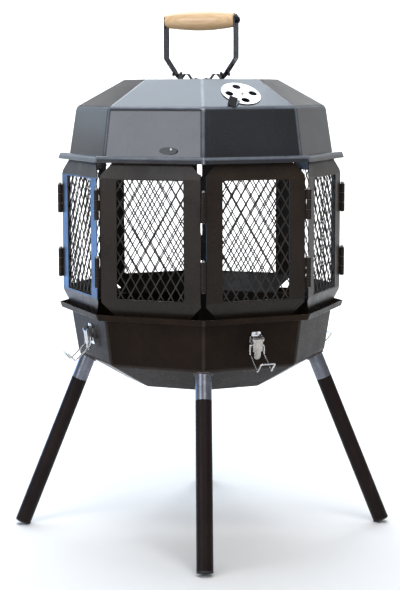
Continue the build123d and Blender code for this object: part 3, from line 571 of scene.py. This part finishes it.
def nugget(bm, centre, radius, rng):
    """A small pressed weld dome that stands inwards."""
    rings = []
    for height, share in NUGGET_RINGS:
        turn = rng.random()
        ring = []
        for n in range(NUGGET_SIDES):
            a = math.tau * (n + 0.1 * turn) / NUGGET_SIDES
            wobble = 1 + rng.uniform(-0.07, 0.07)
            ring.append(bm.verts.new(centre + Vector((
                math.cos(a) * radius * share * wobble,
                math.sin(a) * radius * share * wobble,
                -height * radius * NUGGET_H,
            ))))
        rings.append(ring)
    for low, high in zip(rings, rings[1:]):
        for n in range(NUGGET_SIDES):
            m = (n + 1) % NUGGET_SIDES
            bm.faces.new((low[n], high[n], high[m], low[m]))
    bm.faces.new(rings[-1][::-1])
    bm.faces.new(rings[0])


WELD_U = 0.0595  # how far the welds are from the panel's middle line
WELD_STEP, WELD_STRAY = 0.033, 0.003  # their spacing, and how far one strays from it
WELD_R = 0.0024


def spot_welds():
    """Five welds down each side of a panel, about the panel's own middle."""
    rng = random.Random(7)
    bm = bmesh.new()
    for step in range(-2, 3):
        for side in (-1, 1):
            height = step * WELD_STEP + rng.uniform(-WELD_STRAY, WELD_STRAY)
            nugget(bm, Vector((side * WELD_U, height, MESH_OUT - STRAND_T / 2)), WELD_R, rng)
    mesh = bpy.data.meshes.new("spot_welds")
    bm.to_mesh(mesh)
    bm.free()
    return mesh


spot_mesh = spot_welds()
for number, azimuth in enumerate(FACE_AZIMUTHS, 1):
    add_piece(
        f"spot_welds_{number}", spot_mesh, WELD, "screen",
        side_matrix(azimuth, SCREEN_APOTHEM, MESH_MIDDLE),
    )


# ---- weld beads where the leg sockets meet the bowl --------------------------------------------
def surface_tree(node):
    """A node's mesh, ready for rays."""
    source = NODES[node].data
    points = [v.co.copy() for v in source.vertices]
    return BVHTree.FromPolygons(points, [tuple(f.vertices) for f in source.polygons])


LEG_RADIUS = 0.0127
LEG_TILT = math.radians(21.92)
LEG_TOP_R, LEG_TOP_Z = 0.2008, 0.2454
BEAD_R = 0.0017
BEAD_STEPS, BEAD_SIDES = 96, 8
BEAD_RIPPLE, BEAD_STRAY = 0.16, 0.05  # how much the bead's radius swells and strays
RIPPLE_STEPS = 4
bowl_surface = surface_tree("bowl")


def bead_mesh(azimuth, seed):
    """A rippled weld bead round the line where a socket tube runs into the bowl."""
    rng = random.Random(seed)
    a = math.radians(azimuth)
    outward = Vector((math.sin(a), -math.cos(a), 0))
    across = Vector((math.cos(a), math.sin(a), 0))
    up = (Vector((0, 0, 1)) * math.cos(LEG_TILT) - outward * math.sin(LEG_TILT)).normalized()
    other = up.cross(across)
    top = outward * LEG_TOP_R + Vector((0, 0, LEG_TOP_Z))
    path = []
    for n in range(BEAD_STEPS):
        turn = math.tau * n / BEAD_STEPS
        away = across * math.cos(turn) + other * math.sin(turn)
        start = top + away * (LEG_RADIUS + BEAD_R * 0.35)
        hit, normal, _, _ = bowl_surface.ray_cast(start, up)
        if hit is not None:
            path.append((hit, normal if normal.dot(up) < 0 else -normal, away))
    bm = bmesh.new()
    rings = []
    for n, (hit, normal, away) in enumerate(path):
        ahead = (path[(n + 1) % len(path)][0] - path[n - 1][0]).normalized()
        one = (away - ahead * away.dot(ahead)).normalized()
        two = ahead.cross(one)
        ripple = 1 + BEAD_RIPPLE * math.sin(n * math.tau / RIPPLE_STEPS)
        ripple += rng.uniform(-BEAD_STRAY, BEAD_STRAY)
        centre = hit + normal * BEAD_R * 0.15
        ring = []
        for s in range(BEAD_SIDES):
            b = math.tau * s / BEAD_SIDES
            reach = (one * math.cos(b) + two * math.sin(b)) * BEAD_R * ripple
            ring.append(bm.verts.new(centre + reach))
        rings.append(ring)
    for n in range(len(rings)):
        low, high = rings[n], rings[(n + 1) % len(rings)]
        for s in range(BEAD_SIDES):
            t = (s + 1) % BEAD_SIDES
            bm.faces.new((low[s], low[t], high[t], high[s]))
    bmesh.ops.recalc_face_normals(bm, faces=bm.faces)
    mesh = bpy.data.meshes.new(f"weld_bead_{azimuth:.0f}")
    bm.to_mesh(mesh)
    bm.free()
    for polygon in mesh.polygons:
        polygon.use_smooth = True
    return mesh


for seed, (quarter, azimuth) in enumerate(LEG_AZIMUTHS.items()):
    add_piece(f"weld_bead_{quarter}", bead_mesh(azimuth, seed), WELD, "bowl")


# ---- camera ----------------------------------------------------------------------------------
LENS, SHIFT_X, SHIFT_Y = 97.46, 0.0011, -0.0136
CAMERA_PLACE = (-0.0342, -2.5911, 0.7155)
PITCH_DOWN, YAW_RIGHT, ROLL = 0.1231, 0.0118, -0.0027  # radians

camera_data = bpy.data.cameras.new("camera")
camera_data.lens = LENS
camera_data.shift_x = SHIFT_X
camera_data.shift_y = SHIFT_Y
camera_data.clip_start, camera_data.clip_end = 0.05, 60
camera = bpy.data.objects.new("camera", camera_data)
bpy.context.scene.collection.objects.link(camera)
camera.location = CAMERA_PLACE
camera.rotation_euler = (
    Matrix.Rotation(-YAW_RIGHT, 3, "Z") @ Matrix.Rotation(math.pi / 2 - PITCH_DOWN, 3, "X")
    @ Matrix.Rotation(ROLL, 3, "Z")
).to_euler()
bpy.context.scene.camera = camera


# ---- floor and light -------------------------------------------------------------------------
FLOOR_HALF_W, FLOOR_FRONT, FLOOR_BACK, FLOOR_DROP = 7.0, -6.0, 2.6, 0.0002
SWEEP_R, SWEEP_STEPS, SWEEP_TOP = 1.8, 12, 1.9


def studio_floor():
    """A plain pale sweep: flat floor that curves up behind the object."""
    profile = [(FLOOR_FRONT, 0.0), (FLOOR_BACK, 0.0)]
    for n in range(1, SWEEP_STEPS + 1):
        a = math.pi / 2 * n / SWEEP_STEPS
        profile.append((FLOOR_BACK + SWEEP_R * math.sin(a), SWEEP_R - SWEEP_R * math.cos(a)))
    profile.append((FLOOR_BACK + SWEEP_R, SWEEP_TOP))
    bm = bmesh.new()
    rows = [
        [bm.verts.new((x, y, z - FLOOR_DROP)) for y, z in profile]
        for x in (-FLOOR_HALF_W, FLOOR_HALF_W)
    ]
    for n in range(len(profile) - 1):
        bm.faces.new((rows[0][n], rows[1][n], rows[1][n + 1], rows[0][n + 1]))
    mesh = bpy.data.meshes.new("studio_floor")
    bm.to_mesh(mesh)
    bm.free()
    for polygon in mesh.polygons:
        polygon.use_smooth = True
    floor = bpy.data.objects.new("studio_floor", mesh)
    bpy.context.scene.collection.objects.link(floor)
    p = Paint("studio_floor")
    tone = p.mix(p.noise(2.0, 3), (0.80, 0.80, 0.80), (0.83, 0.83, 0.83))
    roughness = p.remap(p.noise(3.0, 3), 0.3, 0.7, 0.85, 0.95)
    mesh.materials.append(p.finish(tone, roughness))


studio_floor()


def softbox(name, place, aim, size, power, colour=(1, 1, 1)):
    """A soft rectangular light at a place, turned to its aim; size in metres, power in watts."""
    light = bpy.data.lights.new(name, "AREA")
    light.shape = "RECTANGLE"
    light.size, light.size_y = size
    light.energy = power
    light.color = colour
    box = bpy.data.objects.new(name, light)
    bpy.context.scene.collection.objects.link(box)
    box.location = place
    box.rotation_euler = (Vector(aim) - Vector(place)).to_track_quat("-Z", "Y").to_euler()


softbox("top", (-0.3, 1.0, 3.0), (0, 0, 0.7), (2.6, 2.2), 74, (0.78, 0.89, 1.0))
softbox("left", (-2.4, -2.4, 1.35), (0, 0, 0.6), (1.6, 1.6), 34, (0.86, 0.92, 1.0))
softbox("left_low", (-1.55, 1.3, 0.29), (-0.2, 0, 0.47), (1.2, 0.44), 6.5, (0.08, 0.38, 1.0))
softbox("left_back", (-2.3, 2.0, 1.35), (-0.2, 0, 0.65), (1.4, 1.0), 3, (0.55, 0.78, 1.0))
softbox("overhead_front", (0, -1.7, 3.3), (0, -0.7, 0), (2.8, 1.0), 52)
softbox("front_fill", (1.0, -3.4, 3.2), (0, -0.3, 0.0), (2.2, 2.0), 40, (1.0, 0.98, 0.96))
softbox("backdrop_wash", (0, 2.4, 2.9), (0, 4.3, 0.3), (2.6, 0.8), 150)

world = bpy.data.worlds.new("world")
world.use_nodes = True
background = world.node_tree.nodes["Background"]
background.inputs["Color"].default_value = (1.0, 1.0, 1.0, 1)
background.inputs["Strength"].default_value = 0.29
bpy.context.scene.world = world
bpy.context.scene.view_settings.view_transform = "Standard"
